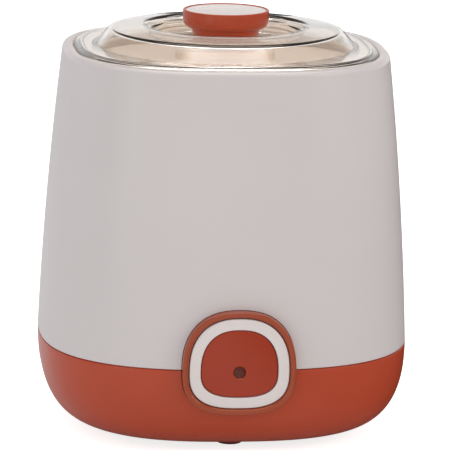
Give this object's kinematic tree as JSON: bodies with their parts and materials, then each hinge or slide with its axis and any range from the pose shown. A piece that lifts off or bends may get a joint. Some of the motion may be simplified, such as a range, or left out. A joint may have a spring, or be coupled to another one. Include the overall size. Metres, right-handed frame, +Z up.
{
  "type": "yogurt maker",
  "caption": "Countertop yogurt maker: tapered soft-square housing on a rounded base, front push button, removable jar in a warm well, clear lid with a grip.",
  "frame": {"origin": "on the surface it stands on, under the middle of the housing", "axes": "+Z up, -Y towards the front with the button, +X to the right of someone facing the front"},
  "size_m": [0.19, 0.198, 0.2155],
  "materials": {
    "red_plastic": "glossy moulded plastic, terracotta red",
    "white_plastic": "glossy moulded plastic, warm white",
    "trim_plastic": "glossy moulded plastic, bright white",
    "inner_white_plastic": "satin moulded plastic, warm white",
    "jar_plastic": "satin translucent plastic, milky white",
    "clear_plastic": "clear moulded plastic, faintly warm",
    "window_plastic": "dark tinted plastic",
    "lamp": "tinted lamp resin",
    "dark_plastic": "satin black plastic",
    "grey_plastic": "satin grey plastic",
    "ceramic": "cream ceramic",
    "rubber": "soft black rubber",
    "gasket": "grey silicone rubber",
    "aluminium": "spun aluminium",
    "steel": "zinc-plated steel",
    "brass": "plain brass",
    "foil": "amber film over etched foil",
    "mica": "pressed mica board",
    "circuit_board": "green lacquered board",
    "component": "moulded electronic parts",
    "brown_wire": "brown wire sleeve",
    "blue_wire": "blue wire sleeve"
  },
  "bodies": {
    "housing": {"base_shell": "red_plastic", "body_shell": "white_plastic", "foot_pads": "rubber", "housing_screws": "steel", "well_liner": "inner_white_plastic", "plate_gasket": "gasket", "heating_plate": "aluminium", "foil_heater": "foil", "heater_insulator": "mica", "heater_retainer": "steel", "retainer_screws": "steel", "thermostat": "dark_plastic", "thermostat_strap": "steel", "strap_rivets": "aluminium", "thermal_fuse": "ceramic", "fuse_clip": "steel", "terminal_block": "ceramic", "terminal_screws": "brass", "cord_gland": "dark_plastic", "gland_clip": "steel", "live_leads": "brown_wire", "neutral_leads": "blue_wire", "control_bezel": "red_plastic", "trim_ring": "trim_plastic", "power_switch": "dark_plastic", "control_frame": "grey_plastic", "frame_screws": "steel", "control_board": "circuit_board", "board_screws": "steel", "board_components": "component", "indicator_lamp": "lamp"},
    "button": {"power_button": "red_plastic", "indicator_window": "window_plastic", "button_spring": "steel", "switch_plunger": "grey_plastic"},
    "jar_body": {"jar": "jar_plastic"},
    "cover_body": {"jar_cover": "jar_plastic"},
    "lid_body": {"clear_lid": "clear_plastic", "lid_knob": "red_plastic", "knob_cap": "trim_plastic", "knob_screw": "steel", "knob_washer": "gasket"}
  },
  "joints": [
    {"name": "button_press", "type": "slide", "parent": "housing", "child": "button", "axis": [0, 1, 0], "range_m": [0, 0.002], "stiffness_N_per_m": 500, "springref_m": -0.002, "deforming": ["button_spring"]},
    {"name": "jar_lift", "type": "slide", "parent": "housing", "child": "jar_body", "axis": [0, 0, 1], "range_m": [0, 0.14]},
    {"name": "cover_lift", "type": "slide", "parent": "jar_body", "child": "cover_body", "axis": [0, 0, 1], "range_m": [0, 0.05]},
    {"name": "lid_lift", "type": "slide", "parent": "cover_body", "child": "lid_body", "axis": [0, 0, 1], "range_m": [0, 0.06]}
  ]
}
